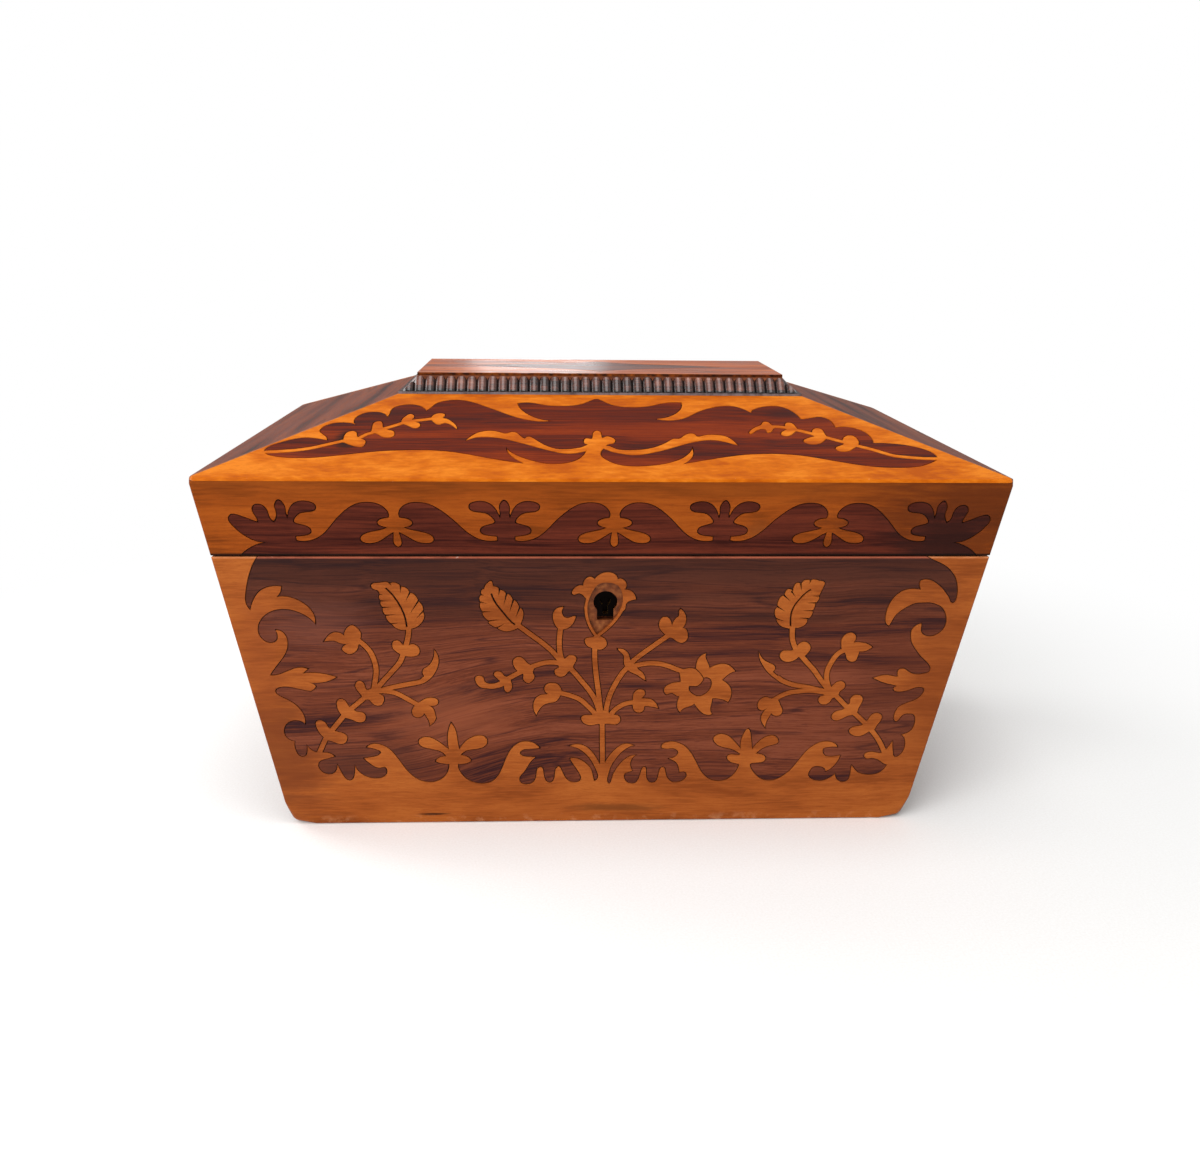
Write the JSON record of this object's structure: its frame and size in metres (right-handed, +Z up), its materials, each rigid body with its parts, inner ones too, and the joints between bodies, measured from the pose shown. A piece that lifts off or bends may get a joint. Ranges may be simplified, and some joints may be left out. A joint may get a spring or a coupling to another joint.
{
  "type": "sarcophagus box",
  "caption": "Tapered sarcophagus tea box in rosewood and satinwood marquetry, with a hinged hipped lid, reeded moulding, lock, lidded tea wells and a glass mixing bowl.",
  "frame": {"origin": "middle of the underside, on the surface that the box stands on", "axes": "+X to the right seen from the front, -Y out of the front with the keyhole, +Z up"},
  "size_m": [0.32, 0.2, 0.193],
  "materials": {
    "rosewood": "French polished",
    "satinwood": "French polished",
    "mahogany": "bare, waxed",
    "brass": "aged",
    "glass": "clear cut glass",
    "velvet": "dark red pile"
  },
  "bodies": {
    "case": {"front_board": "mahogany", "back_board": "mahogany", "left_board": "mahogany", "right_board": "mahogany", "base_board": "mahogany", "left_veneer": "rosewood", "right_veneer": "rosewood", "back_veneer": "rosewood", "front_satinwood_border": "satinwood", "front_satinwood_sprays": "satinwood", "front_rosewood_field": "rosewood", "left_partition": "mahogany", "right_partition": "mahogany", "well_ledges": "mahogany", "bowl_board": "mahogany", "left_hinge_case_leaf": "brass", "right_hinge_case_leaf": "brass", "hinge_pins": "brass", "lock_case": "brass", "case_screws": "brass"},
    "lid": {"lid_front_rail": "mahogany", "lid_right_rail": "mahogany", "lid_back_rail": "mahogany", "lid_left_rail": "mahogany", "lid_front_slope": "mahogany", "lid_right_slope": "mahogany", "lid_back_slope": "mahogany", "lid_left_slope": "mahogany", "right_slope_veneer": "rosewood", "back_slope_veneer": "rosewood", "left_slope_veneer": "rosewood", "lid_right_veneer": "rosewood", "lid_back_veneer": "rosewood", "lid_left_veneer": "rosewood", "front_moulding": "rosewood", "right_moulding": "rosewood", "back_moulding": "rosewood", "left_moulding": "rosewood", "lid_top_board": "mahogany", "moulding_fillet": "rosewood", "cap_board": "mahogany", "lid_lining_panel": "velvet", "left_hinge_lid_leaf": "brass", "right_hinge_lid_leaf": "brass", "link_plate": "brass", "lid_screws": "brass", "band_rosewood": "rosewood", "band_satinwood": "satinwood", "slope_satinwood": "satinwood", "slope_rosewood_cartouche": "rosewood", "plateau_satinwood": "satinwood", "plateau_rosewood_figure": "rosewood"},
    "lock_bolt": {"lock_bolt": "brass"},
    "left_well_lid": {"left_well_lid": "rosewood", "left_well_knob": "rosewood"},
    "right_well_lid": {"right_well_lid": "rosewood", "right_well_knob": "rosewood"},
    "mixing_bowl": {"mixing_bowl": "glass"}
  },
  "joints": [
    {"name": "lid_hinge", "type": "hinge", "parent": "case", "child": "lid", "pos_m": [0, 0.09794, 0.12825], "axis": [-1, 0, 0], "range_deg": [0, 100]},
    {"name": "bolt_slide", "type": "slide", "parent": "case", "child": "lock_bolt", "axis": [1, 0, 0], "range_m": [0, 0.006]},
    {"name": "left_well_lid_lift", "type": "slide", "parent": "case", "child": "left_well_lid", "axis": [0, 0, 1], "range_m": [0, 0.02]},
    {"name": "right_well_lid_lift", "type": "slide", "parent": "case", "child": "right_well_lid", "axis": [0, 0, 1], "range_m": [0, 0.02]},
    {"name": "bowl_lift", "type": "slide", "parent": "case", "child": "mixing_bowl", "axis": [0, 0, 1], "range_m": [0, 0.02]}
  ]
}
